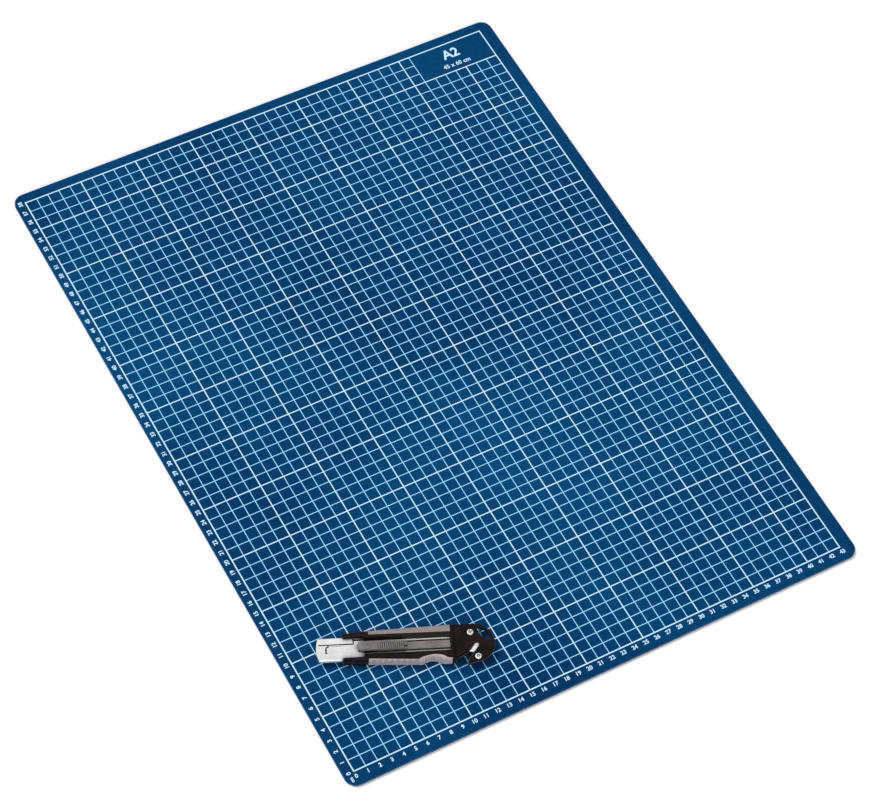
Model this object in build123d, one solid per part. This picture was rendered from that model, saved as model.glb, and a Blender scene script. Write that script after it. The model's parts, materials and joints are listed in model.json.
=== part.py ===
from build123d import *
import os
from math import cos, radians, sin

# A self-healing cutting mat with a retractable utility knife lying on it. Millimetres, +Z up.
# The origin is the centre of the mat's underside; the mat's long side runs along Y.

# ---- cutting mat: three bonded PVC sheets
MAT_WIDTH = 450.0
MAT_LENGTH = 600.0
MAT_CORNER_R = 9.0
BOTTOM_SHEET_T = 0.9
CORE_SHEET_T = 1.2
TOP_SHEET_T = 0.9
MAT_T = BOTTOM_SHEET_T + CORE_SHEET_T + TOP_SHEET_T

# ---- where the knife lies: the middle of its nose, on the mat's top face, and its direction
KNIFE_NOSE_X = -196.8
KNIFE_NOSE_Y = -190.9
KNIFE_ANGLE = -23.35

# From here on the knife has its own frame: x runs from the nose to the head, y across it,
# z up from the mat's top face.

# ---- handle envelope
BODY_FRONT = 19.4
UPPER_FRONT = 20.5
BODY_REAR = 105.6
BODY_H = 11.0
BODY_EDGE_R = 3.0
FRONT_UPPER_Y = 12.2
FRONT_LOWER_Y = -10.35
REAR_UPPER_Y = 16.2
REAR_LOWER_Y = -14.0
GRIP_FRONT = 39.8
GRIP_FRONT_UPPER_Y = 14.1
ARM_FRONT_TANGENT = (-1, -0.12)
FINGER_START = 79.0
FINGER_START_Y = -13.7
FINGER_FALL = (82.8, -12.2)
FINGER_MID = (87.5, -11.2)
FINGER_RISE = (92.4, -12.1)
FINGER_END = (97.0, -13.9)
TOP_STEP_X = 102.0
BOTTOM_STEP_X = 99.5
CHIN_L = 5.0
CHIN_H = 2.6

# ---- head: a round plate with a hook, thinner than the handle
HEAD_X = 119.6
HEAD_Y = 0.8
HEAD_R = 16.1
HEAD_START = 104.0
HEAD_BOTTOM = 4.2
HEAD_TOP = 8.4
HEAD_LEDGE = 0.6
HEAD_CHAMFER = 0.6
HEAD_ROUND = 0.4
HOOK_TANGENT_DEG = -75.0
HOOK_TIP = (112.9, -17.6)
NOTCH_FRONT_X = 101.4
NOTCH_BELLY = (108.8, -10.9)
HOOK_BELLY = (114.8, -12.6)
NOTCH_LEFT_NORMAL = (-0.5, 0.87)
NOTCH_RIGHT_NORMAL = (0.9, -0.44)
THROAT_LEFT = (115.3, -6.8)
THROAT_RIGHT = (119.0, -7.6)
HANG_RIM = 2.6
HANG_FLARE = 0.8
HANG_START_DEG = 74.0
HANG_END_DEG = 12.0
HANG_CHORD = ((129.8, 2.4), (122.6, 8.0))
HANG_CORNER_R = 1.1

# ---- sloping recess along the top of the handle, down to the blade guide
RECESS_LOW_Y = -5.1
RECESS_HIGH_Y = 6.0
RECESS_SLOPE = 2.6
RECESS_LIP = 0.3
RECESS_END_GAP = 0.4
WINDOW_REAR = 35.8
WINDOW_LOW_Y = -8.8
WINDOW_HIGH_Y = 8.7

# ---- where the two shells meet
BODY_SPLIT_Z = 5.6
HEAD_SPLIT_Z = 6.8
SPLIT_STEP_X = 102.6

# ---- hollow under the guide, with its ribs
HOLLOW_FRONT = 28.0
HOLLOW_REAR = 98.0
HOLLOW_LOW_Y = -7.6
HOLLOW_HIGH_Y = 8.8
HOLLOW_FLOOR = 1.8
RIB_T = 1.4
LONG_RIB_YS = (-2.6, 2.4)
CROSS_RIB_XS = (44.0, 60.0, 76.0)

# ---- steel blade guide: a folded channel
SHEET = 0.5
GUIDE_Y = 0.35
GUIDE_W = 19.5
GUIDE_BOTTOM = 4.8
GUIDE_TOP = 8.2
GUIDE_REAR = 101.9
GUIDE_BEND_R = 0.7
GUIDE_TOP_BEND_R = 1.5
NOSE_BOW = 1.9
NOSE_OVERHANG = 0.1
SLOT_FRONT = 31.6
SLOT_LOW_Y = -4.2
SLOT_HIGH_Y = 4.7
SLOT_NECK_REAR = 35.6
SLOT_NECK_LOW_Y = -3.3
SLOT_NECK_HIGH_Y = 2.1
SEAM_FRONT = 1.5
SEAM_REAR = 28.7
SEAM_LOW_Y = 3.45
SEAM_HIGH_Y = 4.4
EAR_STEM_FRONT = 6.6
EAR_BEND = (9.6, 0.2)
EAR_BEND_R = 3.0
EAR_GAP = 1.2
EAR_NECK_X = 21.0
EAR_WIDE_Y = 2.5
EAR_NECK_Y = 3.3
EAR_FOOT_Y = -3.6
EAR_FOOT_L = 1.7
EAR_FOOT_W = 0.7
EAR_ARM_FRONT = 9.4
EAR_ARM_LOW_Y = 2.85
EAR_ARM_HIGH_Y = 3.55
EAR_ARM_DROP = 0.2
CROSS_CUT_W = 0.9
CROSS_CUT_TOP_Y = 8.3
SIDE_CUT_REAR = 35.6
SIDE_CUT_LOW_Y = 6.3
SIDE_CUT_HIGH_Y = 7.6
POCKET_HALF_L = 1.4
POCKET_W = 0.8
FIT = 0.05

# ---- rivets that hold the guide's floor down
GUIDE_RIVET_XS = (84.0, 95.0)
GUIDE_RIVET_R = 1.1
GUIDE_RIVET_HEAD_R = 2.0
GUIDE_RIVET_HEAD_H = 0.5
RIVET_BOSS_R = 2.6
RIVET_SUNK = 0.1

# ---- standard trapezoid blade
BLADE_L = 61.0
BLADE_BACK_L = 33.0
BLADE_H = 18.3
BLADE_T = 0.6
BLADE_TIP_X = 2.2
BLADE_Z = GUIDE_BOTTOM + SHEET + FIT
BEVEL_W = 2.2
BEVEL_EDGE_T = 0.08
BLADE_NOTCH_W = 2.6
BLADE_NOTCH_D = 3.0
BLADE_NOTCH_OFFSET = 3.6

# ---- slider, button and carrier
TRAVEL = 22.0
DETENTS = 4
SLIDER_FRONT = 31.2
SLIDER_REAR = 101.1
SLIDER_LOW_BOW = 2.4
SLIDER_HIGH_BOW = 0.7
SLIDER_BOW_Y = 0.4
SLIDER_LOW_Y = -3.4
SLIDER_HIGH_Y = 3.0
SLIDER_BOTTOM = GUIDE_TOP + 0.1
STRIP_TOP = 9.6
BLOCK_TOP = 12.6
BLOCK_HIGH_Y = 3.65
BLOCK_FACE_TOP = 11.2
BLOCK_RAMP_L = 2.8
SKIRT_FRONT = 36.0
SKIRT_INSET = 0.6
SKIRT_H = 1.2
WELL_FLOOR = 9.0
BUTTON_FRONT = 46.2
BUTTON_REAR = 66.0
BUTTON_GAP = 0.35
BUTTON_RIM_Z = 9.85
BUTTON_CEILING_Z = 10.6
BUTTON_TOP_FRONT = 12.8
BUTTON_TOP_REAR = 11.2
BUTTON_WALL = 0.8
BUTTON_RIB_H = 1.0
BUTTON_RIBS = 12
RIB_LOW_MARGIN = 0.15
RIB_HIGH_MARGIN = 1.1
RIB_FOOT = 0.45
RIB_CREST = 0.32
BAR_REAR = 68.4
BAR_TOP = 10.6
BAR_GROOVE_W = 0.4
BAR_GROOVE_D = 0.5
BAR_HOLE_LOW_Y = -1.9
BAR_HOLE_HIGH_Y = -0.2
EDGE_ROUND = 0.4
CARRIER_FRONT = 23.0
CARRIER_REAR = 61.4
CARRIER_BOTTOM = BLADE_Z + BLADE_T + 0.1
CARRIER_TOP = GUIDE_TOP - SHEET - 0.1
CARRIER_LOW_Y = -8.2
CARRIER_HIGH_Y = 8.9
CARRIER_CORNER = 1.0
LUG_GAP = 0.2
LUG_L = 2.4
PEG_XS = (55.0, 59.2)
PEG_L = 2.4
PEG_LOW_Y = -3.0
PEG_HIGH_Y = 1.8
STEM_X = 63.5
STEM_GAP = 0.15
LATCH_BOTTOM = 6.8
LATCH_TOP = 7.6
LATCH_REACH = 0.9
SPRING_MIDDLE_X = 54.6
SPRING_L = 14.0
SPRING_TOP = 10.55
SPRING_T = 0.2
SPRING_LOW_Y = -2.2
SPRING_HIGH_Y = 1.9

# ---- head fasteners and the string blade
SCREWS = ((117.3, 9.0), (121.6, -11.7))
SCREW_SHANK_R = 1.2
SCREW_HOLE_R = 1.35
SCREW_HEAD_R = 2.5
SCREW_SEAT_Z = 7.9
SCREW_HEAD_H = 1.3
SCREW_HEAD_GAP = 0.25
SCREW_ROUND = 0.8
CROSS_L = 3.2
CROSS_W = 1.2
CROSS_D = 1.1
CROSS_TURN = 20.0
INSERT_R = 1.95
INSERT_FLOOR_T = 0.4
INSERT_FLOOR_Z = HEAD_BOTTOM + INSERT_FLOOR_T
CORD_SLOT_R = 1.75
CORD_SLOT_START = (117.3, -7.0)
CORD_SLOT_END = (121.4, -1.4)
CORD_SLOT_RUN_OUT = 2.0
STRING_COVER_T = 1.0
STRING_BLADE_T = HEAD_TOP - STRING_COVER_T - HEAD_SPLIT_Z
STRING_BEVEL_SHARE = 0.85
STRING_BEVEL_W = 0.6
STRING_EDGE_LEFT = (115.2, -6.3)
STRING_EDGE_RIGHT = (119.4, -7.1)
STRING_SHOULDER = (114.7, -5.6)
STRING_BLADE_FAR_RIGHT = (125.2, -0.6)
STRING_BLADE_FAR_LEFT = (120.2, 2.6)

# ---- grips
GRIP_T = 1.2
GROOVE_R = 1.5
GROOVE_DEPTH = 0.75
GROOVE_PITCH = 4.6
GRIP_REAR_X = 101.9
UPPER_SEAM_FRONT_Y = 9.8
UPPER_SEAM_REAR_Y = 9.3
LOWER_SEAM_FRONT_Y = -10.3
ARCH_FRONT = (76.5, -12.6)
ARCH_RISE = (81.5, -10.6)
ARCH_TOP = (88.2, -9.4)
ARCH_FALL = (94.5, -10.5)
ARCH_REAR = (98.0, -12.4)
GRIP_TAIL = (101.8, -12.9)
LOWER_GROOVE_START = 2.6
FINGER_GROOVES = ((82.8, -12.2), (87.5, -11.2), (92.4, -12.1))

# ---- reach of tools that only cut, past every part
FAR = 40.0


# ---------------------------------------------------------------- small helpers
def block(x0, x1, y0, y1, z0, z1):
    """A box between two corners."""
    middle = Pos((x0 + x1) / 2, (y0 + y1) / 2, (z0 + z1) / 2)
    return middle * Box(x1 - x0, y1 - y0, z1 - z0)


def plate(outline, z0, z1):
    """A closed plan outline raised from z0 to z1."""
    return extrude(Plane.XY.offset(z0) * make_face(outline), z1 - z0)


def bar_along_x(points_yz, x0, x1):
    """A cross-section in Y and Z, drawn out from x0 to x1."""
    return extrude(Plane.YZ.offset(x0) * make_face(Polyline(*points_yz, close=True)), x1 - x0)


def bar_along_y(points_xz, y0, y1):
    """A side profile in X and Z, drawn out from y0 to y1."""
    profile = Plane.XZ.offset(-y1) * make_face(Polyline(*points_xz, close=True))
    return extrude(profile, y1 - y0)


def disc(x, y, radius, z0, z1):
    """An upright cylinder."""
    return Pos(x, y, (z0 + z1) / 2) * Cylinder(radius, z1 - z0)


# ---------------------------------------------------------------- cutting mat
def mat_sheet(z0, thickness):
    """One sheet of the mat with rounded corners."""
    outline = RectangleRounded(MAT_WIDTH, MAT_LENGTH, MAT_CORNER_R)
    return extrude(Plane.XY.offset(z0) * outline, thickness)


# ---------------------------------------------------------------- handle envelope
def lower_side_y(x):
    """Where the handle's lower side lies ahead of the finger recess."""
    slope = (FINGER_START_Y - FRONT_LOWER_Y) / (FINGER_START - BODY_FRONT)
    return FRONT_LOWER_Y + slope * (x - BODY_FRONT)


def upper_side_y(x):
    """Where the handle's upper side lies along the grip."""
    slope = (REAR_UPPER_Y - GRIP_FRONT_UPPER_Y) / (BODY_REAR - GRIP_FRONT)
    return GRIP_FRONT_UPPER_Y + slope * (x - GRIP_FRONT)


def handle_outline(inset=0.0):
    """Plan outline of the handle, with its long sides moved in by inset."""
    start = (BODY_FRONT, FRONT_LOWER_Y + inset)
    finger = (FINGER_START, FINGER_START_Y + inset)
    rear_low = (BODY_REAR, REAR_LOWER_Y + inset)
    rear_high = (BODY_REAR, REAR_UPPER_Y - inset)
    knee = (GRIP_FRONT, GRIP_FRONT_UPPER_Y - inset)
    front_high = (UPPER_FRONT, FRONT_UPPER_Y - inset)
    along = (finger[0] - start[0], finger[1] - start[1])
    hollow = [(x, y + inset) for x, y in (FINGER_FALL, FINGER_MID, FINGER_RISE, FINGER_END)]
    lower = Line(start, finger)
    recess = Spline(finger, *hollow, tangents=(along, (1, 0)))
    tail = Line(recess @ 1, rear_low)
    rear = Line(rear_low, rear_high)
    upper = Line(rear_high, knee)
    arm = Spline(knee, front_high, tangents=(upper % 1, ARM_FRONT_TANGENT))
    front = Line(front_high, start)
    return lower + recess + tail + rear + upper + arm + front


def handle_envelope():
    """The whole handle as one rounded solid, stepping down to the head at its rear."""
    body = plate(handle_outline(), 0, BODY_H)
    long_edges = [e for e in body.edges().filter_by(lambda e: abs((e @ 0).Z - (e @ 1).Z) < 0.01)
                  if (e @ 0.5).X > BODY_FRONT + 1 and (e @ 0.5).X < BODY_REAR - 1]
    body = fillet(long_edges, BODY_EDGE_R)
    top_step = bar_along_y([(TOP_STEP_X, BODY_H + 1), (TOP_STEP_X, BODY_H), (BODY_REAR, HEAD_TOP),
                            (BODY_REAR + 1, HEAD_TOP), (BODY_REAR + 1, BODY_H + 1)], -FAR, FAR)
    bottom_step = bar_along_y([(BOTTOM_STEP_X, -1), (BOTTOM_STEP_X, 0), (BODY_REAR, HEAD_BOTTOM),
                               (BODY_REAR + 1, HEAD_BOTTOM), (BODY_REAR + 1, -1)], -FAR, FAR)
    chin = bar_along_y([(BODY_FRONT - 1, -1), (BODY_FRONT - 1, CHIN_H), (BODY_FRONT, CHIN_H),
                        (BODY_FRONT + CHIN_L, 0), (BODY_FRONT + CHIN_L, -1)], -FAR, FAR)
    return body - top_step - bottom_step - chin


# ---------------------------------------------------------------- head envelope
def head_outline(inset=0.0):
    """Plan outline of the head: a round end that runs on into the hook's tip."""
    radius = HEAD_R - inset
    turn = radians(HOOK_TANGENT_DEG)
    hook_start = (HEAD_X + radius * cos(turn), HEAD_Y + radius * sin(turn))
    tip = (HOOK_TIP[0], HOOK_TIP[1] + inset)
    top_left = (HEAD_START, HEAD_Y + radius)
    top = Line(top_left, (HEAD_X, HEAD_Y + radius))
    round_end = ThreePointArc(top @ 1, (HEAD_X + radius, HEAD_Y), hook_start)
    hook = Line(hook_start, tip)
    inner = Line(tip, (HEAD_START, tip[1]))
    left = Line((HEAD_START, tip[1]), top_left)
    return top + round_end + hook + inner + left


def notch_outline(grow=0.0):
    """Plan outline of the mouth between the handle and the hook, where a string is fed in."""
    up = Vector(*NOTCH_LEFT_NORMAL) * grow
    across = Vector(*NOTCH_RIGHT_NORMAL) * grow
    left_start = Vector(NOTCH_FRONT_X, REAR_LOWER_Y - 0.2) + up
    left_end = Vector(*THROAT_LEFT) + up
    right_start = Vector(*THROAT_RIGHT) + across
    right_end = Vector(*HOOK_TIP) + across
    left = Spline(left_start, Vector(*NOTCH_BELLY) + up, left_end)
    throat = Line(left_end, right_start)
    right = Spline(right_start, Vector(*HOOK_BELLY) + across, right_end)
    outside = Polyline(right_end, (HOOK_TIP[0] - 1, -FAR), (NOTCH_FRONT_X - 2, -FAR),
                       (NOTCH_FRONT_X - 2, left_start.Y), left_start)
    return left + throat + right + outside


def cord_slot():
    """Plan face of the window over the string blade; its near end runs out into the notch."""
    start = Vector(*CORD_SLOT_START)
    end = Vector(*CORD_SLOT_END)
    along = (end - start).normalized()
    start -= along * CORD_SLOT_RUN_OUT
    stadium = SlotCenterToCenter((end - start).length, 2 * CORD_SLOT_R)
    angle = along.get_angle(Vector(1, 0))
    middle = (start + end) / 2
    return Pos(middle.X, middle.Y) * Rot(0, 0, angle) * stadium


def hanging_slot(grow=0.0):
    """Plan face of the crescent hole for hanging the knife up, grow larger on its outer side."""
    outer_r = HEAD_R - HANG_RIM + grow
    rim = CenterArc((HEAD_X, HEAD_Y), outer_r, HANG_START_DEG, HANG_END_DEG - HANG_START_DEG)
    chord = Polyline(rim @ 1, *HANG_CHORD, rim @ 0)
    face = make_face(rim + chord)
    return fillet(face.vertices(), HANG_CORNER_R)


def head_face(inset=0.0):
    """Plan face of the head with its notch, moved in by inset all round."""
    return make_face(head_outline(inset)) - make_face(notch_outline(inset))


def head_lower():
    """The head's lower half: the larger plate, cut through for the hanging slot."""
    body = extrude(Plane.XY.offset(HEAD_BOTTOM) * head_face(), HEAD_SPLIT_Z - HEAD_BOTTOM)
    outer = body.edges().group_by(Axis.Z)[0].filter_by(lambda e: (e @ 0.5).X > BODY_REAR + 1)
    body = chamfer(outer, HEAD_CHAMFER)
    body -= extrude(Plane.XY.offset(HEAD_BOTTOM - 1) * hanging_slot(HANG_FLARE), HEAD_TOP)
    return body


def head_upper():
    """The head's upper half: the thin cover over the string blade."""
    body = extrude(Plane.XY.offset(HEAD_SPLIT_Z) * head_face(HEAD_LEDGE), HEAD_TOP - HEAD_SPLIT_Z)
    outer = body.edges().group_by(Axis.Z)[-1].filter_by(lambda e: (e @ 0.5).X > BODY_REAR + 1)
    body = fillet(outer, HEAD_ROUND)
    body -= extrude(Plane.XY.offset(HEAD_SPLIT_Z - 1) * hanging_slot(), HEAD_TOP)
    body -= extrude(Plane.XY.offset(HEAD_SPLIT_Z - 1) * cord_slot(), HEAD_TOP)
    return body


# ---------------------------------------------------------------- grips
def grip_region_upper():
    """The part of the handle that the upper grip covers."""
    outline = Polyline((GRIP_FRONT, UPPER_SEAM_FRONT_Y), (GRIP_REAR_X, UPPER_SEAM_REAR_Y),
                       (GRIP_REAR_X, FAR), (GRIP_FRONT, FAR), close=True)
    return plate(outline, -1, BODY_H + 1)


def grip_region_lower():
    """The part of the handle that the lower grip covers, with its arch over the finger recess."""
    corner = (GRIP_FRONT - 1, -FAR)
    front = Line(corner, (GRIP_FRONT - 1, LOWER_SEAM_FRONT_Y))
    edge = Line(front @ 1, ARCH_FRONT)
    arch = Spline(edge @ 1, ARCH_RISE, ARCH_TOP, ARCH_FALL, ARCH_REAR)
    rear = Polyline(arch @ 1, GRIP_TAIL, (GRIP_TAIL[0], -FAR), corner)
    return plate(front + edge + arch + rear, -1, BODY_H + 1)


def grip_core():
    """What lies under the grips: the handle, smaller by the grips' thickness."""
    return plate(handle_outline(GRIP_T), GRIP_T, BODY_H - GRIP_T)


def grip_skin(region):
    """One grip before its grooves: the handle's skin inside the given region."""
    return (handle_envelope() & region) - grip_core()


def both_grip_skins():
    """The seats that the grips take up in the shells."""
    return grip_skin(grip_region_upper()) + grip_skin(grip_region_lower())


def groove(x, side_y, outward):
    """An upright groove across a grip's side."""
    return disc(x, side_y + outward * (GROOVE_R - GROOVE_DEPTH), GROOVE_R, -1, BODY_H + 1)


def upper_grip():
    """Soft grip along the handle's upper side."""
    body = grip_skin(grip_region_upper())
    x = GRIP_FRONT + GROOVE_PITCH
    while x < TOP_STEP_X - 2:
        body -= groove(x, upper_side_y(x), 1)
        x += GROOVE_PITCH
    return body


def lower_grip():
    """Soft grip along the handle's lower side, with grooves up to and into the finger recess."""
    body = grip_skin(grip_region_lower())
    x = GRIP_FRONT + LOWER_GROOVE_START
    while x < FINGER_START - 1:
        body -= groove(x, lower_side_y(x), -1)
        x += GROOVE_PITCH
    for x, y in FINGER_GROOVES:
        body -= groove(x, y, -1)
    return body


# ---------------------------------------------------------------- shells
def below_split():
    """Everything below the stepped face where the shells meet."""
    handle = block(-FAR, SPLIT_STEP_X, -FAR, FAR, -FAR, BODY_SPLIT_Z)
    head = block(SPLIT_STEP_X, HEAD_X + FAR, -FAR, FAR, -FAR, HEAD_SPLIT_Z)
    return handle + head


def guide_space():
    """Room for the blade guide, with a little clearance."""
    half = GUIDE_W / 2 + FIT
    return block(-FAR, GUIDE_REAR + FIT, GUIDE_Y - half, GUIDE_Y + half, GUIDE_BOTTOM, GUIDE_TOP + FIT)


def string_blade_outline(grow=0.0):
    """Plan outline of the string blade; its cutting edge is its lower end, across the notch."""
    right_x, right_y = STRING_BLADE_FAR_RIGHT
    left_x, left_y = STRING_BLADE_FAR_LEFT
    return Polyline((STRING_EDGE_LEFT[0] - grow, STRING_EDGE_LEFT[1] - grow),
                    (STRING_EDGE_RIGHT[0] + grow, STRING_EDGE_RIGHT[1] - grow),
                    (right_x + grow, right_y + grow), (left_x - grow, left_y + grow),
                    (STRING_SHOULDER[0] - grow, STRING_SHOULDER[1]), close=True)


def lower_shell():
    """Lower half of the handle and head: a tray with ribs that carry the blade guide."""
    body = (handle_envelope() & below_split()) + head_lower()
    body -= guide_space()
    body -= block(HOLLOW_FRONT, HOLLOW_REAR, HOLLOW_LOW_Y, HOLLOW_HIGH_Y, HOLLOW_FLOOR, GUIDE_BOTTOM + 0.1)
    for y in LONG_RIB_YS:
        body += block(HOLLOW_FRONT, HOLLOW_REAR, y, y + RIB_T, HOLLOW_FLOOR, GUIDE_BOTTOM)
    for x in CROSS_RIB_XS:
        body += block(x, x + RIB_T, HOLLOW_LOW_Y, HOLLOW_HIGH_Y, HOLLOW_FLOOR, GUIDE_BOTTOM)
    for x in GUIDE_RIVET_XS:
        body += disc(x, GUIDE_Y, RIVET_BOSS_R, HOLLOW_FLOOR, GUIDE_BOTTOM)
        body -= disc(x, GUIDE_Y, GUIDE_RIVET_R + FIT, 0, GUIDE_BOTTOM + 1)
        body -= disc(x, GUIDE_Y, GUIDE_RIVET_HEAD_R + FIT, -1, GUIDE_RIVET_HEAD_H + FIT)
    for x, y in SCREWS:
        body -= disc(x, y, INSERT_R, INSERT_FLOOR_Z, BODY_H)
    return body - both_grip_skins()


def upper_shell():
    """Upper half of the handle and head, open along the top for the slider."""
    body = (handle_envelope() - below_split()) + head_upper()
    body -= guide_space()
    body -= block(BODY_FRONT - 1, WINDOW_REAR, WINDOW_LOW_Y, WINDOW_HIGH_Y, GUIDE_TOP, BODY_H + 1)
    recess = [(RECESS_LOW_Y, GUIDE_TOP - 0.2), (RECESS_HIGH_Y, GUIDE_TOP - 0.2),
              (RECESS_HIGH_Y, GUIDE_TOP + RECESS_LIP), (RECESS_HIGH_Y + RECESS_SLOPE, BODY_H + 0.1),
              (RECESS_LOW_Y - RECESS_SLOPE, BODY_H + 0.1), (RECESS_LOW_Y, GUIDE_TOP + RECESS_LIP)]
    body -= bar_along_x(recess, WINDOW_REAR - 1, GUIDE_REAR + RECESS_END_GAP)
    body -= plate(string_blade_outline(FIT), HEAD_SPLIT_Z - 0.1, HEAD_SPLIT_Z + STRING_BLADE_T + 0.01)
    for x, y in SCREWS:
        body -= disc(x, y, SCREW_HOLE_R, 0, BODY_H)
        body -= disc(x, y, SCREW_HEAD_R + SCREW_HEAD_GAP, SCREW_SEAT_Z, BODY_H)
    return body - both_grip_skins()


# ---------------------------------------------------------------- blade guide
def through_top(x0, x1, y0, y1):
    """A rectangular cut right through the guide's top sheet."""
    return block(x0, x1, y0, y1, GUIDE_TOP - SHEET - 0.1, GUIDE_TOP + 0.1)


def spring_ear_gap():
    """The J-shaped cut round the spring ear in the nose's top plate, and the seam beside it."""
    bend_x, bend_y = EAR_BEND
    z0 = GUIDE_TOP - SHEET - 0.1
    z1 = GUIDE_TOP + 0.1
    seam = through_top(SEAM_FRONT, SEAM_REAR, SEAM_LOW_Y, SEAM_HIGH_Y)
    wide = through_top(bend_x, EAR_NECK_X, EAR_WIDE_Y, SEAM_LOW_Y + 0.1)
    narrow = through_top(EAR_NECK_X - 0.1, SEAM_REAR, EAR_NECK_Y, SEAM_LOW_Y + 0.1)
    stem = through_top(EAR_STEM_FRONT, EAR_STEM_FRONT + EAR_GAP, EAR_FOOT_Y + EAR_FOOT_W - 0.1, bend_y)
    bend = disc(bend_x, bend_y, EAR_BEND_R, z0, z1)
    bend -= disc(bend_x, bend_y, EAR_BEND_R - EAR_GAP, z0 - 1, z1 + 1)
    bend &= through_top(bend_x - EAR_BEND_R - 1, bend_x, bend_y, bend_y + EAR_BEND_R + 1)
    corner = through_top(bend_x - 1, bend_x + 0.1, bend_y + EAR_BEND_R - EAR_GAP - 0.05, SEAM_LOW_Y + 0.1)
    foot = through_top(EAR_STEM_FRONT + 0.1, EAR_STEM_FRONT + EAR_FOOT_L, EAR_FOOT_Y,
                       EAR_FOOT_Y + EAR_FOOT_W)
    return seam + wide + narrow + stem + bend + corner + foot


def rounded_folds(body, inset):
    """A channel's outside or inside with its long edges rounded, wider at the top."""
    long_edges = body.edges().filter_by(Axis.X).group_by(Axis.Z)
    body = fillet(long_edges[0], GUIDE_BEND_R - inset)
    long_edges = body.edges().filter_by(Axis.X).group_by(Axis.Z)
    return fillet(long_edges[-1], GUIDE_TOP_BEND_R - inset)


def blade_guide():
    """Folded steel channel: floor, sides, turned-in flanges and the nose's top plate."""
    half = GUIDE_W / 2
    bow = ThreePointArc((NOSE_BOW, GUIDE_Y - half), (0, GUIDE_Y), (NOSE_BOW, GUIDE_Y + half))
    rest = Polyline((NOSE_BOW, GUIDE_Y + half), (GUIDE_REAR, GUIDE_Y + half),
                    (GUIDE_REAR, GUIDE_Y - half), (NOSE_BOW, GUIDE_Y - half))
    body = plate(Pos(-NOSE_OVERHANG, 0) * (bow + rest), GUIDE_BOTTOM, GUIDE_TOP)
    hollow = block(-FAR, GUIDE_REAR + FAR, GUIDE_Y - half + SHEET, GUIDE_Y + half - SHEET,
                   GUIDE_BOTTOM + SHEET, GUIDE_TOP - SHEET)
    body = rounded_folds(body, 0) - rounded_folds(hollow, SHEET)
    body -= through_top(SLOT_FRONT, SLOT_NECK_REAR, SLOT_NECK_LOW_Y, SLOT_NECK_HIGH_Y)
    body -= through_top(SLOT_NECK_REAR - 0.1, GUIDE_REAR + 1, SLOT_LOW_Y, SLOT_HIGH_Y)
    body -= spring_ear_gap()
    body += block(EAR_ARM_FRONT, EAR_NECK_X + 0.3, EAR_ARM_LOW_Y, EAR_ARM_HIGH_Y,
                  GUIDE_TOP - SHEET, GUIDE_TOP - EAR_ARM_DROP)
    body -= through_top(SEAM_REAR - CROSS_CUT_W, SEAM_REAR, SEAM_LOW_Y, CROSS_CUT_TOP_Y)
    body -= through_top(SEAM_REAR - 0.1, SIDE_CUT_REAR, SIDE_CUT_LOW_Y, SIDE_CUT_HIGH_Y)
    for step in range(DETENTS + 1):
        x = STEM_X - step * TRAVEL / DETENTS
        body -= block(x - POCKET_HALF_L, x + POCKET_HALF_L, SLOT_LOW_Y - POCKET_W, SLOT_LOW_Y + 0.1,
                      GUIDE_TOP - SHEET - 0.1, GUIDE_TOP - SHEET / 2)
    for x in GUIDE_RIVET_XS:
        body -= disc(x, GUIDE_Y, GUIDE_RIVET_R + FIT, GUIDE_BOTTOM - 1, GUIDE_BOTTOM + SHEET + 0.1)
    return body


def guide_rivets():
    """Two rivets that hold the guide's floor down on the lower shell."""
    rivets = []
    for x in GUIDE_RIVET_XS:
        shank = disc(x, GUIDE_Y, GUIDE_RIVET_R, GUIDE_RIVET_HEAD_H / 2, GUIDE_BOTTOM + SHEET)
        foot = disc(x, GUIDE_Y, GUIDE_RIVET_HEAD_R, RIVET_SUNK, GUIDE_RIVET_HEAD_H)
        head_z = GUIDE_BOTTOM + SHEET
        head = disc(x, GUIDE_Y, GUIDE_RIVET_HEAD_R, head_z, head_z + GUIDE_RIVET_HEAD_H)
        rivets.append(shank + foot + head)
    return Compound(children=rivets)


# ---------------------------------------------------------------- blade
def blade():
    """Trapezoid blade with a ground cutting edge along -y and two notches in its back."""
    low = GUIDE_Y - BLADE_H / 2
    high = GUIDE_Y + BLADE_H / 2
    middle = BLADE_Z + BLADE_T / 2
    edge = BEVEL_EDGE_T / 2
    section = [(low, middle - edge), (low + BEVEL_W, BLADE_Z), (high, BLADE_Z),
               (high, BLADE_Z + BLADE_T), (low + BEVEL_W, BLADE_Z + BLADE_T), (low, middle + edge)]
    body = bar_along_x(section, BLADE_TIP_X, BLADE_TIP_X + BLADE_L)
    run = (BLADE_L - BLADE_BACK_L) / 2
    rear = BLADE_TIP_X + BLADE_L
    ends = Polyline((BLADE_TIP_X, low), (rear, low), (rear - run, high), (BLADE_TIP_X + run, high),
                    close=True)
    body &= plate(ends, BLADE_Z - 1, BLADE_Z + BLADE_T + 1)
    centre = BLADE_TIP_X + BLADE_L / 2
    for x in (centre - BLADE_NOTCH_OFFSET, centre + BLADE_NOTCH_OFFSET):
        body -= block(x - BLADE_NOTCH_W / 2, x + BLADE_NOTCH_W / 2, high - BLADE_NOTCH_D, high + 1,
                      BLADE_Z - 1, BLADE_Z + BLADE_T + 1)
    return body


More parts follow.
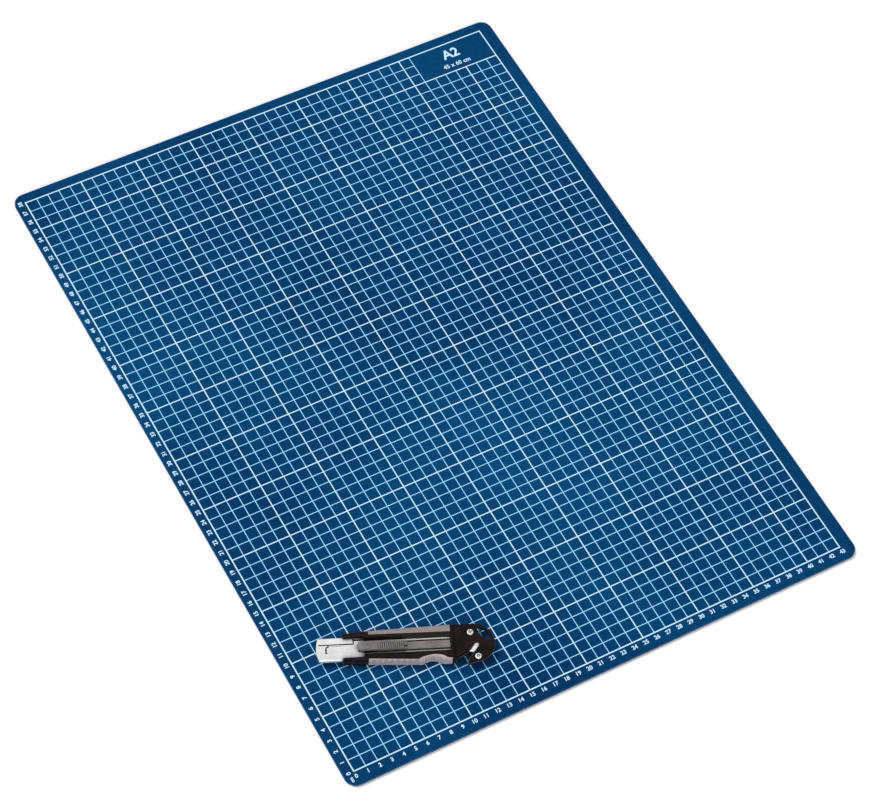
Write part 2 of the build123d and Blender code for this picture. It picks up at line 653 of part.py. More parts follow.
# ---------------------------------------------------------------- carrier
def blade_carrier():
    """Plate over the blade: two lugs stand in the blade's notches, the slider's pegs in its holes."""
    high = GUIDE_Y + BLADE_H / 2
    body = block(CARRIER_FRONT, CARRIER_REAR, CARRIER_LOW_Y, CARRIER_HIGH_Y, CARRIER_BOTTOM, CARRIER_TOP)
    body = chamfer(body.edges().filter_by(Axis.Z), CARRIER_CORNER)
    centre = BLADE_TIP_X + BLADE_L / 2
    for x in (centre - BLADE_NOTCH_OFFSET, centre + BLADE_NOTCH_OFFSET):
        body += block(x - LUG_L / 2, x + LUG_L / 2, high - BLADE_NOTCH_D + LUG_GAP, CARRIER_HIGH_Y,
                      BLADE_Z + 0.05, CARRIER_BOTTOM + 0.1)
    for x in PEG_XS:
        body -= block(x - PEG_L / 2 - FIT, x + PEG_L / 2 + FIT, PEG_LOW_Y - FIT, PEG_HIGH_Y + FIT, 0, BODY_H)
    return body


# ---------------------------------------------------------------- slider
def slider_outline():
    """Plan outline of the slider, with its bowed front end."""
    low = SLIDER_LOW_Y - 0.1
    high = BLOCK_HIGH_Y + 0.1
    nose = ThreePointArc((SLIDER_FRONT + SLIDER_LOW_BOW, low), (SLIDER_FRONT, SLIDER_BOW_Y),
                         (SLIDER_FRONT + SLIDER_HIGH_BOW, high))
    rest = Polyline(nose @ 1, (SLIDER_REAR + 1, high), (SLIDER_REAR + 1, low), nose @ 0)
    return nose + rest


def thumb_slider():
    """Slider: a tall front block, a well for the button, a cross bar with its hole, and a cover strip."""
    well_front = BUTTON_FRONT - BUTTON_GAP
    well_rear = BUTTON_REAR + BUTTON_GAP
    body = block(SLIDER_FRONT, SLIDER_REAR, SLIDER_LOW_Y, SLIDER_HIGH_Y, SLIDER_BOTTOM, STRIP_TOP)
    body += bar_along_y([(SLIDER_FRONT, BLOCK_FACE_TOP), (SLIDER_FRONT + BLOCK_RAMP_L, BLOCK_TOP),
                         (well_front, BLOCK_TOP), (well_front, SLIDER_BOTTOM),
                         (SLIDER_FRONT, SLIDER_BOTTOM)], SLIDER_LOW_Y, BLOCK_HIGH_Y)
    body += block(well_rear, BAR_REAR, SLIDER_LOW_Y, SLIDER_HIGH_Y, SLIDER_BOTTOM, BAR_TOP)
    top_edges = [e for e in body.edges().filter_by(Axis.X) if (e @ 0).Z > STRIP_TOP - 0.01]
    body = fillet(top_edges, EDGE_ROUND)
    body &= plate(slider_outline(), 0, BLOCK_TOP + 1)
    body -= block(well_front, well_rear, -FAR, FAR, WELL_FLOOR, BLOCK_TOP + 1)
    body -= block(SKIRT_FRONT, well_front, SLIDER_LOW_Y - 1, SLIDER_LOW_Y + SKIRT_INSET,
                  SLIDER_BOTTOM - 1, SLIDER_BOTTOM + SKIRT_H)
    body -= block(BUTTON_REAR, BAR_REAR + BAR_GROOVE_W, BAR_HOLE_LOW_Y, BAR_HOLE_HIGH_Y, 0, BLOCK_TOP)
    body -= block(BAR_REAR, BAR_REAR + BAR_GROOVE_W, -FAR, FAR, STRIP_TOP - BAR_GROOVE_D, BLOCK_TOP)
    for x in PEG_XS:
        body += block(x - PEG_L / 2, x + PEG_L / 2, PEG_LOW_Y, PEG_HIGH_Y,
                      CARRIER_BOTTOM + 0.1, SLIDER_BOTTOM + 0.1)
    body -= block(STEM_X - PEG_L / 2 - STEM_GAP, STEM_X + PEG_L / 2 + STEM_GAP,
                  PEG_LOW_Y - STEM_GAP, PEG_HIGH_Y + STEM_GAP, 0, BODY_H)
    return body


def button_top_z(x):
    """How high the button's sloping top is at x."""
    slope = (BUTTON_TOP_REAR - BUTTON_TOP_FRONT) / (BUTTON_REAR - BUTTON_FRONT)
    return BUTTON_TOP_FRONT + slope * (x - BUTTON_FRONT)


def thumb_button():
    """Ribbed push button: a hollow cap whose stem reaches down through the slider to the latch."""
    body = bar_along_y([(BUTTON_FRONT, BUTTON_RIM_Z), (BUTTON_FRONT, BUTTON_TOP_FRONT),
                        (BUTTON_REAR, BUTTON_TOP_REAR), (BUTTON_REAR, BUTTON_RIM_Z)],
                       SLIDER_LOW_Y, BLOCK_HIGH_Y)
    long_edges = [e for e in body.edges() if e.length > 10 and (e @ 0.5).Z > BUTTON_CEILING_Z]
    body = fillet(long_edges, EDGE_ROUND)
    body -= block(BUTTON_FRONT + BUTTON_WALL, BUTTON_REAR - BUTTON_WALL, SLIDER_LOW_Y + BUTTON_WALL,
                  BLOCK_HIGH_Y - BUTTON_WALL, BUTTON_RIM_Z - 1, BUTTON_CEILING_Z)
    pitch = (BUTTON_REAR - BUTTON_FRONT) / BUTTON_RIBS
    for n in range(BUTTON_RIBS):
        x = BUTTON_FRONT + (n + 0.5) * pitch
        foot = button_top_z(x) - 0.2
        crest = button_top_z(x) + BUTTON_RIB_H
        body += bar_along_y([(x - RIB_FOOT, foot), (x - RIB_CREST, crest), (x + RIB_CREST, crest),
                             (x + RIB_FOOT, foot)],
                            SLIDER_LOW_Y + RIB_LOW_MARGIN, BLOCK_HIGH_Y - RIB_HIGH_MARGIN)
    stem_front = STEM_X - PEG_L / 2
    stem_rear = STEM_X + PEG_L / 2
    body += block(stem_front, stem_rear, PEG_LOW_Y, PEG_HIGH_Y, LATCH_BOTTOM, BUTTON_CEILING_Z + 0.1)
    body += block(stem_front, stem_rear, SLOT_LOW_Y - LATCH_REACH, PEG_LOW_Y + 0.1, LATCH_BOTTOM, LATCH_TOP)
    return body


def button_spring():
    """Bowed leaf spring between the slider and the button."""
    front = SPRING_MIDDLE_X - SPRING_L / 2
    rear = SPRING_MIDDLE_X + SPRING_L / 2
    low = WELL_FLOOR + 0.02
    outer = ThreePointArc((front, low + SPRING_T), (SPRING_MIDDLE_X, SPRING_TOP), (rear, low + SPRING_T))
    inner = ThreePointArc((rear, low), (SPRING_MIDDLE_X, SPRING_TOP - SPRING_T), (front, low))
    ends = Line(outer @ 1, inner @ 0) + Line(inner @ 1, outer @ 0)
    profile = Plane.XZ.offset(-SPRING_LOW_Y) * make_face(outer + inner + ends)
    return extrude(profile, SPRING_LOW_Y - SPRING_HIGH_Y)


# ---------------------------------------------------------------- head hardware
def string_blade():
    """Small blade under the head's window; its edge is ground across the notch."""
    body = plate(string_blade_outline(), HEAD_SPLIT_Z, HEAD_SPLIT_Z + STRING_BLADE_T)
    low_end = [e for e in body.edges().group_by(Axis.Z)[-1] if (e @ 0.5).Y < -6 and e.length > 3]
    return chamfer(low_end, STRING_BLADE_T * STRING_BEVEL_SHARE, STRING_BEVEL_W)


def head_screws():
    """Two pan-head screws with cross recesses."""
    screws = []
    for x, y in SCREWS:
        head = disc(x, y, SCREW_HEAD_R, SCREW_SEAT_Z, SCREW_SEAT_Z + SCREW_HEAD_H)
        head = fillet(head.edges().group_by(Axis.Z)[-1], SCREW_ROUND)
        screw = head + disc(x, y, SCREW_SHANK_R, INSERT_FLOOR_Z + 0.2, SCREW_SEAT_Z + 0.1)
        top = SCREW_SEAT_Z + SCREW_HEAD_H
        for angle in (CROSS_TURN, CROSS_TURN + 90):
            arm = Box(CROSS_L, CROSS_W, 2 * CROSS_D)
            screw -= Pos(x, y, top) * Rot(0, 0, angle) * arm
        screws.append(screw)
    return Compound(children=screws)


def head_inserts():
    """Two brass inserts in the lower shell that the screws turn into."""
    inserts = []
    for x, y in SCREWS:
        insert = disc(x, y, INSERT_R, INSERT_FLOOR_Z, HEAD_SPLIT_Z)
        insert -= disc(x, y, SCREW_SHANK_R + 0.02, 0, BODY_H)
        inserts.append(insert)
    return Compound(children=inserts)


# ---------------------------------------------------------------- the assembly
def main():
    os.makedirs("parts", exist_ok=True)
    mat = {
        "mat_bottom_sheet": mat_sheet(0, BOTTOM_SHEET_T),
        "mat_core_sheet": mat_sheet(BOTTOM_SHEET_T, CORE_SHEET_T),
        "mat_top_sheet": mat_sheet(BOTTOM_SHEET_T + CORE_SHEET_T, TOP_SHEET_T),
    }
    knife = {
        "lower_shell": lower_shell(),
        "upper_shell": upper_shell(),
        "upper_grip": upper_grip(),
        "lower_grip": lower_grip(),
        "blade_guide": blade_guide(),
        "guide_rivets": guide_rivets(),
        "blade": blade(),
        "blade_carrier": blade_carrier(),
        "thumb_slider": thumb_slider(),
        "thumb_button": thumb_button(),
        "button_spring": button_spring(),
        "string_blade": string_blade(),
        "head_screws": head_screws(),
        "head_inserts": head_inserts(),
    }
    place = Location((KNIFE_NOSE_X, KNIFE_NOSE_Y, MAT_T), (0, 0, KNIFE_ANGLE))
    for name, piece in mat.items():
        export_step(piece, f"parts/{name}.step")
    for name, piece in knife.items():
        export_step(place * piece, f"parts/{name}.step")


main()
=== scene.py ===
"""A blue cutting mat with a retractable utility knife on it: materials, the mat's print, light and camera."""
import json
import math

import bmesh
import bpy
from mathutils import Matrix, Vector


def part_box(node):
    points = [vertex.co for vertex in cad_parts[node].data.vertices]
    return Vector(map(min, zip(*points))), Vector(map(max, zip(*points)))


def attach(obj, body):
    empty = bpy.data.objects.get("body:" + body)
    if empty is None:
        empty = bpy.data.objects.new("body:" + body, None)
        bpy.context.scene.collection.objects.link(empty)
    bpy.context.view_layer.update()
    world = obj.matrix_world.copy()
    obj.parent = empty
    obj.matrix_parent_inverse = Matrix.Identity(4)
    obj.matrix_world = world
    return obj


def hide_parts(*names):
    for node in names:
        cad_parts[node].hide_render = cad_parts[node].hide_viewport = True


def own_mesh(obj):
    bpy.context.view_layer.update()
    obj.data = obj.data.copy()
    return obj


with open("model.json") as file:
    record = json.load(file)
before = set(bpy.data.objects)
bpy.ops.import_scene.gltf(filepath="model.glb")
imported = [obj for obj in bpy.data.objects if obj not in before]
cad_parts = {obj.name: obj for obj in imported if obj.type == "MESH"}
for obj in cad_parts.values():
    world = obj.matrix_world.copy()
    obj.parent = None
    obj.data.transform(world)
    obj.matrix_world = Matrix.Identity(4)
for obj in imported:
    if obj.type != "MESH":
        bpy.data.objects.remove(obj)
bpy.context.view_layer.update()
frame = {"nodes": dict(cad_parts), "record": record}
NODES = frame["nodes"]

MM = 0.001
CM = 0.01

# ---- the mat's print
GRID_COLUMNS = 43
GRID_ROWS = 58
MAJOR_STEP = 5
BOX_COLUMNS = 7
BOX_ROWS = 3
INK_T = 0.02 * MM
ROW_LIFT = INK_T / 4
MINOR_W = 0.66 * MM
MAJOR_W = 0.90 * MM
BORDER_W = 1.00 * MM
PRINT_SHIFT = (-1.4 * MM, 1.1 * MM)
DIGIT_SIZE = 4.7 * MM
DIGIT_BOLD = 0.13 * MM
DIGIT_GAP = 4.3 * MM
UNIT_SIZE = 3.6 * MM
UNIT_DROP = 1.35 * DIGIT_GAP
LABEL_SIZE = 13.125 * MM
LABEL_BOLD = 0.28 * MM
LABEL_RISE = 3.4 * MM
LABEL_SMALL = 5.72 * MM
LABEL_DROP = 8.4 * MM

# ---- camera and light
CAMERA_AIM = (-0.0036, -0.0294, 0.003)
CAMERA_AZIMUTH = 34.789
CAMERA_ELEVATION = 56.547
CAMERA_ROLL = 7.252
CAMERA_DISTANCE = 2.3859
CAMERA_LENS = 122.95
FLOOR_SIZE = 30.0
WORLD_STRENGTH = 0.50
KEY_FROM = (-0.7, 1.1, 2.0)
KEY_ENERGY = 1.93
KEY_ANGLE = math.radians(24)
FILL_FROM = (-0.8, -1.5, 0.75)
FILL_ENERGY = 1.25
FILL_ANGLE = math.radians(40)

# ---- materials
# the part of a noise's range that holds most of its values
MIDDLE = (0.35, 0.65)
BEVEL_SAMPLES = 6
# samples for the ambient occlusion that paints shade into gaps
PAINTED_SHADE_SAMPLES = 8
# the dot product of the true and the rounded normal, on a flat face and on a fully worn edge
FLAT_DOT = 0.995
EDGE_DOT = 0.80
# how far the painted shade in gaps reaches
PAINTED_SHADE_REACH = 2.2 * MM
GRIP_PAINTED_SHADE_REACH = 1.6 * MM
# the radius of a steel edge, how much brighter it is, and the scale of the lines ground into steel
STEEL_EDGE = 0.22 * MM
RUBBED = 1.12
BRUSHED_SCALE = (180, 5200, 900)
# how the knife lies on the mat, turned about z
KNIFE_TURN = math.radians(-23.35)
ACROSS_KNIFE = KNIFE_TURN + math.pi / 2


# ---------------------------------------------------------------- node graphs
class Graph:
    """A small helper that builds one material's nodes."""

    def __init__(self, name):
        self.material = bpy.data.materials.new(name)
        self.material.use_nodes = True
        self.tree = self.material.node_tree
        self.shader = self.tree.nodes["Principled BSDF"]
        self.place = self.node("ShaderNodeTexCoord").outputs["Object"]

    def node(self, kind, **settings):
        made = self.tree.nodes.new(kind)
        for key, value in settings.items():
            setattr(made, key, value)
        return made

    def link(self, output, socket):
        self.tree.links.new(output, socket)

    def mapped(self, scale, turn):
        """Object coordinates, turned about z and then scaled along each axis."""
        turned = self.node("ShaderNodeMapping", vector_type="POINT")
        turned.inputs["Rotation"].default_value = (0, 0, turn)
        self.link(self.place, turned.inputs["Vector"])
        scaled = self.node("ShaderNodeMapping", vector_type="POINT")
        scaled.inputs["Scale"].default_value = scale
        self.link(turned.outputs["Vector"], scaled.inputs["Vector"])
        return scaled.outputs["Vector"]

    def noise(self, scale, detail, roughness, vector=None):
        made = self.node("ShaderNodeTexNoise")
        made.inputs["Scale"].default_value = scale
        made.inputs["Detail"].default_value = detail
        made.inputs["Roughness"].default_value = roughness
        self.link(vector or self.place, made.inputs["Vector"])
        return made.outputs["Fac"]

    def cells(self, scale):
        made = self.node("ShaderNodeTexVoronoi", feature="F1")
        made.inputs["Scale"].default_value = scale
        self.link(self.place, made.inputs["Vector"])
        return made.outputs["Distance"]

    def spread(self, value, low, high, out_low=0.0, out_high=1.0):
        """Maps value from low..high to out_low..out_high, held at both ends."""
        made = self.node("ShaderNodeMapRange")
        made.inputs["From Min"].default_value = low
        made.inputs["From Max"].default_value = high
        made.inputs["To Min"].default_value = out_low
        made.inputs["To Max"].default_value = out_high
        self.link(value, made.inputs["Value"])
        return made.outputs["Result"]

    def math(self, operation, a, b):
        made = self.node("ShaderNodeMath", operation=operation)
        for socket, value in zip(made.inputs, (a, b)):
            if isinstance(value, (int, float)):
                socket.default_value = value
            else:
                self.link(value, socket)
        return made.outputs["Value"]

    def blend(self, a, b, share):
        """The weighted sum of two values, share of a and the rest of b."""
        return self.math("ADD", self.math("MULTIPLY", a, share), self.math("MULTIPLY", b, 1.0 - share))

    def mix(self, factor, a, b):
        """Blends two colours, each a tuple or an output."""
        made = self.node("ShaderNodeMix", data_type="RGBA")
        self.link(factor, made.inputs["Factor"])
        for socket, value in ((made.inputs[6], a), (made.inputs[7], b)):
            if isinstance(value, tuple):
                socket.default_value = (*value, 1.0)
            else:
                self.link(value, socket)
        return made.outputs[2]

    def edges(self, radius):
        """1 on convex edges and 0 on flat faces, from how far a rounded normal leans away."""
        bevel = self.node("ShaderNodeBevel", samples=BEVEL_SAMPLES)
        bevel.inputs["Radius"].default_value = radius
        facing = self.node("ShaderNodeNewGeometry")
        dot = self.node("ShaderNodeVectorMath", operation="DOT_PRODUCT")
        self.link(bevel.outputs["Normal"], dot.inputs[0])
        self.link(facing.outputs["Normal"], dot.inputs[1])
        return self.spread(dot.outputs["Value"], FLAT_DOT, EDGE_DOT)

    def creased(self, color, reach, floor, low=0.25, high=0.85):
        """Darkens a colour in gaps and inner corners, down to floor: painted shade."""
        made = self.node("ShaderNodeAmbientOcclusion", samples=PAINTED_SHADE_SAMPLES, only_local=False)
        made.inputs["Distance"].default_value = reach
        open_share = self.spread(made.outputs["AO"], low, high, floor, 1.0)
        return self.mix(open_share, (0.0, 0.0, 0.0), color)

    def bump(self, height, distance, strength, edge_radius=0.0):
        """Small relief over softly rounded edges."""
        made = self.node("ShaderNodeBump")
        made.inputs["Strength"].default_value = strength
        made.inputs["Distance"].default_value = distance
        self.link(height, made.inputs["Height"])
        if edge_radius > 0:
            bevel = self.node("ShaderNodeBevel", samples=BEVEL_SAMPLES)
            bevel.inputs["Radius"].default_value = edge_radius
            self.link(bevel.outputs["Normal"], made.inputs["Normal"])
        self.link(made.outputs["Normal"], self.shader.inputs["Normal"])

    def finish(self, color, roughness, **constants):
        self.link(color, self.shader.inputs["Base Color"])
        self.link(roughness, self.shader.inputs["Roughness"])
        for key, value in constants.items():
            self.shader.inputs[key.replace("_", " ")].default_value = value
        return self.material


# ---------------------------------------------------------------- materials
def vinyl(name, light, dark, grain=1.0):
    """Calendered PVC: a fine pebbled skin over slow changes of shade."""
    g = Graph(name)
    clouds = g.noise(4.0, 3.0, 0.55)
    mottle = g.noise(260.0, 3.0, 0.6)
    pebble = g.cells(2600.0)
    speck = g.noise(5200.0, 2.0, 0.6)
    shade = g.blend(clouds, mottle, 0.75)
    color = g.mix(g.spread(shade, 0.36, 0.64), dark, light)
    rough = g.spread(g.blend(mottle, speck, 0.6), *MIDDLE, 0.46, 0.62)
    height = g.math("ADD", pebble, g.math("MULTIPLY", speck, 0.7))
    g.bump(height, 0.00006 * grain, 0.55, edge_radius=0.0007)
    return g.finish(color, rough, Specular_IOR_Level=0.02)


def ink(name, solid, thin):
    """Screen-printed ink: a thin film that lets the vinyl's grain through."""
    g = Graph(name)
    patches = g.noise(420.0, 3.0, 0.6)
    grain = g.noise(5200.0, 2.0, 0.6)
    cover = g.spread(g.blend(patches, grain, 0.7), 0.36, 0.56)
    color = g.mix(cover, thin, solid)
    g.bump(grain, 0.00003, 0.4)
    return g.finish(color, g.spread(grain, *MIDDLE, 0.42, 0.56), Specular_IOR_Level=0.08)


def moulded_plastic(name, light, dark, edge_wear_and_highlight, rough_low, rough_high, specular, relief=0.00003, edge=0.00030):
    """Injection-moulded plastic: a spark-eroded texture, paler on its edges from wear and a painted highlight,
    with painted shade in its gaps.
    """
    g = Graph(name)
    handled = g.noise(120.0, 4.0, 0.6)
    texture = g.noise(3800.0, 3.0, 0.65)
    body = g.mix(g.spread(handled, *MIDDLE), dark, light)
    # paler edges: partly wear, partly a painted highlight
    edge_wear_and_highlight_mask = g.math("MULTIPLY", g.edges(edge), g.spread(g.noise(900.0, 3.0, 0.6), 0.30, 0.62, 0.25, 1.0))
    # painted shade in gaps and inner corners
    color = g.creased(g.mix(edge_wear_and_highlight_mask, body, edge_wear_and_highlight), PAINTED_SHADE_REACH, 0.30)
    rough = g.spread(g.blend(texture, handled, 0.5), *MIDDLE, rough_low, rough_high)
    g.bump(texture, relief, 0.5, edge_radius=edge)
    return g.finish(color, rough, Specular_IOR_Level=specular)


def soft_grip(name, light, dark):
    """Soft elastomer: matt and slightly dusty, with a fine even tooth and painted shade in its creases."""
    g = Graph(name)
    mottle = g.noise(300.0, 4.0, 0.6)
    tooth = g.cells(3400.0)
    dust = g.noise(1500.0, 3.0, 0.6)
    shade = g.blend(mottle, dust, 0.6)
    # painted shade in creases
    color = g.creased(g.mix(g.spread(shade, 0.36, 0.64), dark, light), GRIP_PAINTED_SHADE_REACH, 0.45)
    g.bump(g.math("ADD", tooth, dust), 0.00006, 0.6, edge_radius=0.00045)
    return g.finish(color, g.spread(dust, 0.3, 0.7, 0.62, 0.80), Specular_IOR_Level=0.3)


def steel(name, light, dark, rough_low, rough_high, along=None, anisotropy=0.4, metallic=1.0,
          reach=PAINTED_SHADE_REACH, shade_floor=0.15, open_at=0.92):
    """Rolled or ground steel: fine lines along one direction, smudges, bright rubbed edges, and painted shade
    in its gaps.
    """
    g = Graph(name)
    if along is None:
        lines = g.noise(2600.0, 4.0, 0.7)
    else:
        lines = g.noise(1.0, 4.0, 0.7, g.mapped(BRUSHED_SCALE, -along))
    smudge = g.noise(130.0, 4.0, 0.6)
    fleck = g.noise(2400.0, 2.0, 0.5)
    shade = g.blend(lines, smudge, 0.5)
    body = g.mix(g.spread(shade, 0.36, 0.64), dark, light)
    bright = tuple(min(1.0, RUBBED * c) for c in light)
    # painted shade in gaps and recesses
    color = g.creased(g.mix(g.edges(STEEL_EDGE), body, bright), reach, shade_floor, 0.45, open_at)
    rough = g.spread(g.blend(smudge, fleck, 0.6), *MIDDLE, rough_low, rough_high)
    g.bump(lines, 0.00001, 0.35, edge_radius=STEEL_EDGE)
    return g.finish(color, rough, Metallic=metallic, Anisotropic=anisotropy)


def floor_paper(name):
    """Matt white background paper."""
    g = Graph(name)
    fibre = g.noise(700.0, 3.0, 0.6)
    color = g.mix(g.spread(fibre, 0.3, 0.7), (0.90, 0.90, 0.90), (0.93, 0.93, 0.93))
    return g.finish(color, g.spread(fibre, 0.3, 0.7, 0.85, 0.95), Specular_IOR_Level=0.0)


MATERIALS = {
    "mat_vinyl": vinyl("mat_vinyl", (0.0018, 0.058, 0.162), (0.0003, 0.028, 0.094)),
    "mat_core": vinyl("mat_core", (0.030, 0.16, 0.36), (0.022, 0.13, 0.31), grain=0.5),
    "white_ink": ink("white_ink", (0.56, 0.82, 1.0), (0.45, 0.73, 1.0)),
    "line_ink": ink("line_ink", (0.33, 0.72, 1.0), (0.24, 0.62, 0.98)),
    "black_plastic": moulded_plastic("black_plastic", (0.0130, 0.0052, 0.0056), (0.0045, 0.0024, 0.0024),
                                     (0.080, 0.070, 0.078), 0.36, 0.52, edge=0.00034, specular=0.10),
    # the lower shell's plastic, with a strong painted highlight along its edges
    "rim_highlight_plastic": moulded_plastic("rim_highlight_plastic", (0.0130, 0.0052, 0.0056), (0.0045, 0.0024, 0.0024),
                                     (0.42, 0.42, 0.46), 0.36, 0.52, edge=0.00060, specular=0.10),
    "grey_plastic": moulded_plastic("grey_plastic", (0.190, 0.165, 0.168), (0.150, 0.130, 0.132),
                                    (0.56, 0.53, 0.535), 0.36, 0.50, relief=0.00002, specular=0.25),
    "soft_grip": soft_grip("soft_grip", (0.270, 0.240, 0.238), (0.205, 0.182, 0.180)),
    # the lower grip's rubber, painted paler as if lit from the front
    "front_lit_grip": soft_grip("front_lit_grip", (0.430, 0.372, 0.378), (0.352, 0.304, 0.309)),
    # the guide and the blade are painted deep shade inside the channel; the string blade only a little
    "guide_steel": steel("guide_steel", (0.82, 0.81, 0.82), (0.70, 0.69, 0.70), 0.36, 0.52, KNIFE_TURN,
                         metallic=0.5, reach=0.0040, shade_floor=0.05, open_at=1.0),
    "blade_steel": steel("blade_steel", (0.78, 0.78, 0.79), (0.62, 0.62, 0.63), 0.26, 0.40,
                         ACROSS_KNIFE, metallic=0.5, reach=0.004, shade_floor=0.01),
    "string_steel": steel("string_steel", (0.92, 0.90, 0.90), (0.80, 0.78, 0.78), 0.28, 0.42,
                          ACROSS_KNIFE, metallic=0.4, shade_floor=0.75),
    "spring_steel": steel("spring_steel", (0.42, 0.41, 0.39), (0.28, 0.275, 0.27), 0.28, 0.42),
    "screw_steel": steel("screw_steel", (0.92, 0.91, 0.91), (0.80, 0.79, 0.79), 0.22, 0.36, anisotropy=0.0,
                         metallic=0.5, shade_floor=0.30),
    "insert_brass": steel("insert_brass", (0.74, 0.56, 0.26), (0.58, 0.42, 0.18), 0.25, 0.40, anisotropy=0.0),
}


# the pieces whose finish differs from their slot in the record, to match the tones in the photo: a painted
# highlight on the lower shell's edges, a lower grip painted paler as if lit from the front, and a string blade
# that gets less painted shade in its narrow window
SPECIAL = {"lower_shell": "rim_highlight_plastic", "lower_grip": "front_lit_grip", "string_blade": "string_steel"}


def dress_cad_nodes():
    """Gives each CAD node the procedural material of its slot in the record."""
    for part in frame["record"]["subparts"]:
        node = NODES[part["node"]]
        node.data.materials.clear()
        node.data.materials.append(MATERIALS[SPECIAL.get(part["node"], part["material_slot"])])


# ---------------------------------------------------------------- the mat's print
def new_piece(name, mesh, material, body):
    """Links a finished mesh as a piece that rides on a body."""
    piece = bpy.data.objects.new(name, mesh)
    bpy.context.scene.collection.objects.link(piece)
    mesh.materials.clear()
    mesh.materials.append(MATERIALS[material])
    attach(piece, body)
    return piece


def mat_face():
    """The printed grid's lower left corner, and the height of the mat's top."""
    low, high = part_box("mat_top_sheet")
    corner = Vector(((low.x + high.x - GRID_COLUMNS * CM) / 2, (low.y + high.y - GRID_ROWS * CM) / 2))
    return corner + Vector(PRINT_SHIFT), high.z


GRID_CORNER, MAT_TOP = mat_face()


def grid_point(column, row):
    """A point on the mat from its place in the printed centimetre grid."""
    return GRID_CORNER.x + column * CM, GRID_CORNER.y + row * CM


def add_bar(form, a, b, width, lift):
    """A thin raised bar of ink from a to b."""
    start = Vector(a)
    run = Vector(b) - start
    side = Vector((-run.y, run.x)).normalized() * (width / 2)
    end = start + run
    corners = [start - side, end - side, end + side, start + side]
    low = [form.verts.new((c.x, c.y, MAT_TOP)) for c in corners]
    high = [form.verts.new((c.x, c.y, MAT_TOP + INK_T + lift)) for c in corners]
    form.faces.new(high)
    form.faces.new(low[::-1])
    for n in range(4):
        m = (n + 1) % 4
        form.faces.new((low[n], low[m], high[m], high[n]))


def grid_lines(major):
    """The grid's lines, either the heavy ones every five centimetres or the light ones between.

    The rows lie a little above the columns, so that no two faces share a plane where they cross.
    """
    form = bmesh.new()
    width = MAJOR_W if major else MINOR_W
    lift = INK_T / 2 if major else 0.0
    box_left = GRID_COLUMNS - BOX_COLUMNS
    box_bottom = GRID_ROWS - BOX_ROWS
    for column in range(1, GRID_COLUMNS):
        if (column % MAJOR_STEP == 0) == major:
            top = box_bottom if column > box_left else GRID_ROWS
            add_bar(form, grid_point(column, 0), grid_point(column, top), width, lift)
    for row in range(1, GRID_ROWS):
        if (row % MAJOR_STEP == 0) == major:
            right = box_left if row > box_bottom else GRID_COLUMNS
            add_bar(form, grid_point(0, row), grid_point(right, row), width, lift + ROW_LIFT)
    mesh = bpy.data.meshes.new("mat_major_lines" if major else "mat_minor_lines")
    form.to_mesh(mesh)
    form.free()
    return mesh


def grid_border():
    """The heavier frame round the grid, mitred into one ring."""
    form = bmesh.new()
    rings = []
    for step in (-BORDER_W / 2, BORDER_W / 2):
        x0, y0 = grid_point(0, 0)
        x1, y1 = grid_point(GRID_COLUMNS, GRID_ROWS)
        corners = ((x0 - step, y0 - step), (x1 + step, y0 - step),
                   (x1 + step, y1 + step), (x0 - step, y1 + step))
        for z in (MAT_TOP, MAT_TOP + 2 * INK_T):
            rings.append([form.verts.new((x, y, z)) for x, y in corners])
    inner_low, inner_high, outer_low, outer_high = rings
    for a, b in ((inner_high, outer_high), (outer_low, inner_low), (inner_low, inner_high),
                 (outer_high, outer_low)):
        for n in range(4):
            m = (n + 1) % 4
            form.faces.new((a[n], b[n], b[m], a[m]))
    mesh = bpy.data.meshes.new("mat_grid_border")
    form.to_mesh(mesh)
    form.free()
    return mesh


def lettering(text, size, x, y, turn=0.0, bold=DIGIT_BOLD):
    """Flat raised lettering centred on a point, as a mesh object."""
    curve = bpy.data.curves.new("text", "FONT")
    curve.body = text
    curve.size = size
    curve.align_x = "CENTER"
    curve.align_y = "CENTER"
    curve.offset = bold
    curve.extrude = INK_T / 2
    curve.resolution_u = 3
    word = bpy.data.objects.new("text", curve)
    word.matrix_world = Matrix.Translation((x, y, MAT_TOP + INK_T / 2)) @ Matrix.Rotation(turn, 4, "Z")
    bpy.context.scene.collection.objects.link(word)
    return word


def joined(words, name):
    """Turns lettering objects into one mesh in the shared frame."""
    bpy.context.view_layer.update()
    form = bmesh.new()
    for word in words:
        mesh = bpy.data.meshes.new_from_object(word)
        mesh.transform(word.matrix_world)
        form.from_mesh(mesh)
        bpy.data.meshes.remove(mesh)
        curve = word.data
        bpy.data.objects.remove(word)
        bpy.data.curves.remove(curve)
    mesh = bpy.data.meshes.new(name)
    form.to_mesh(mesh)
    form.free()
    return mesh


def scale_numbers():
    """Centimetre numbers along the lower and left edges, with the unit in the corner."""
    words = []
    for column in range(GRID_COLUMNS + 1):
        x, y = grid_point(column, 0)
        words.append(lettering(str(column), DIGIT_SIZE, x, y - DIGIT_GAP))
    for row in range(GRID_ROWS + 1):
        x, y = grid_point(0, row)
        words.append(lettering(str(row), DIGIT_SIZE, x - DIGIT_GAP, y, math.pi / 2))
    x, y = grid_point(0, 0)
    words.append(lettering("cm", UNIT_SIZE, x - DIGIT_GAP, y - UNIT_DROP, math.pi / 2))
    return joined(words, "mat_scale_numbers")


def size_label():
    """The mat's size, set in the blank box at the upper right."""
    x, y = grid_point(GRID_COLUMNS - BOX_COLUMNS / 2, GRID_ROWS - BOX_ROWS / 2)
    words = [lettering("A2", LABEL_SIZE, x, y + LABEL_RISE, bold=LABEL_BOLD),
             lettering("45 x 60 cm", LABEL_SMALL, x, y - LABEL_DROP)]
    return joined(words, "mat_size_label")


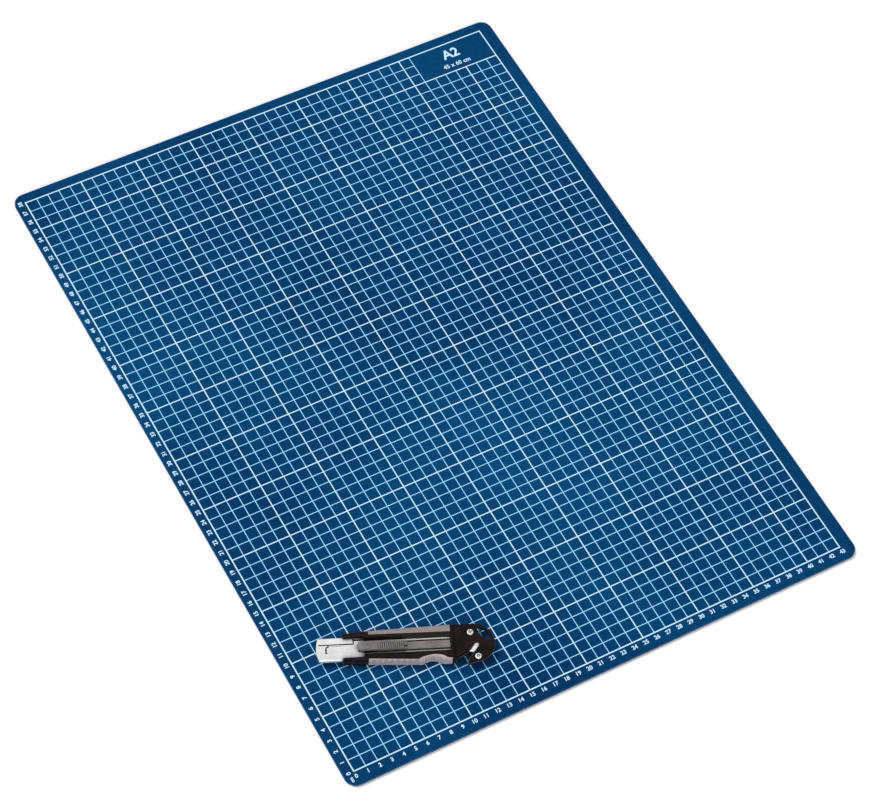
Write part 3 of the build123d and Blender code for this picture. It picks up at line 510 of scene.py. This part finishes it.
def print_mat():
    new_piece("mat_minor_lines", grid_lines(False), "line_ink", "mat")
    new_piece("mat_major_lines", grid_lines(True), "white_ink", "mat")
    new_piece("mat_grid_border", grid_border(), "white_ink", "mat")
    new_piece("mat_scale_numbers", scale_numbers(), "white_ink", "mat")
    new_piece("mat_size_label", size_label(), "white_ink", "mat")


# ---------------------------------------------------------------- the button's spring
def leaf_spring():
    """The bowed leaf under the button, riding on the slider."""
    node = NODES["button_spring"]
    piece = new_piece("button_leaf_spring", node.data.copy(), "spring_steel", "slider")
    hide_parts("button_spring")
    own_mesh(piece)


# ---------------------------------------------------------------- stage
def add_camera():
    """The camera, from its direction, roll and distance to the point it looks at."""
    azimuth = math.radians(CAMERA_AZIMUTH)
    elevation = math.radians(CAMERA_ELEVATION)
    level_share = math.cos(elevation)
    forward = Vector((math.sin(azimuth) * level_share, math.cos(azimuth) * level_share, -math.sin(elevation)))
    data = bpy.data.cameras.new("camera")
    data.lens = CAMERA_LENS
    data.sensor_width = 36.0
    data.clip_start = 0.05
    data.clip_end = 60.0
    camera = bpy.data.objects.new("camera", data)
    bpy.context.scene.collection.objects.link(camera)
    level = forward.to_track_quat("-Z", "Y").to_matrix()
    turned = level @ Matrix.Rotation(math.radians(CAMERA_ROLL), 3, "Z")
    place = Vector(CAMERA_AIM) - forward * CAMERA_DISTANCE
    camera.matrix_world = Matrix.Translation(place) @ turned.to_4x4()
    bpy.context.scene.camera = camera


def add_floor():
    half = FLOOR_SIZE / 2
    mesh = bpy.data.meshes.new("floor")
    corners = [(-half, -half, 0), (half, -half, 0), (half, half, 0), (-half, half, 0)]
    mesh.from_pydata(corners, [], [(0, 1, 2, 3)])
    mesh.materials.append(floor_paper("floor_paper"))
    floor = bpy.data.objects.new("floor", mesh)
    bpy.context.scene.collection.objects.link(floor)


def add_sun(name, place, energy, angle):
    """A soft sun that shines from place towards the origin."""
    data = bpy.data.lights.new(name, "SUN")
    data.energy = energy
    data.angle = angle
    sun = bpy.data.objects.new(name, data)
    bpy.context.scene.collection.objects.link(sun)
    sun.location = place
    sun.rotation_euler = (-Vector(place)).to_track_quat("-Z", "Y").to_euler()


def light_studio():
    world = bpy.data.worlds.new("studio")
    world.use_nodes = True
    background = world.node_tree.nodes["Background"]
    background.inputs["Color"].default_value = (1.0, 1.0, 1.0, 1.0)
    background.inputs["Strength"].default_value = WORLD_STRENGTH
    bpy.context.scene.world = world
    add_sun("key", KEY_FROM, KEY_ENERGY, KEY_ANGLE)
    add_sun("fill", FILL_FROM, FILL_ENERGY, FILL_ANGLE)
    bpy.context.scene.view_settings.view_transform = "Standard"


add_camera()
dress_cad_nodes()
print_mat()
leaf_spring()
add_floor()
light_studio()
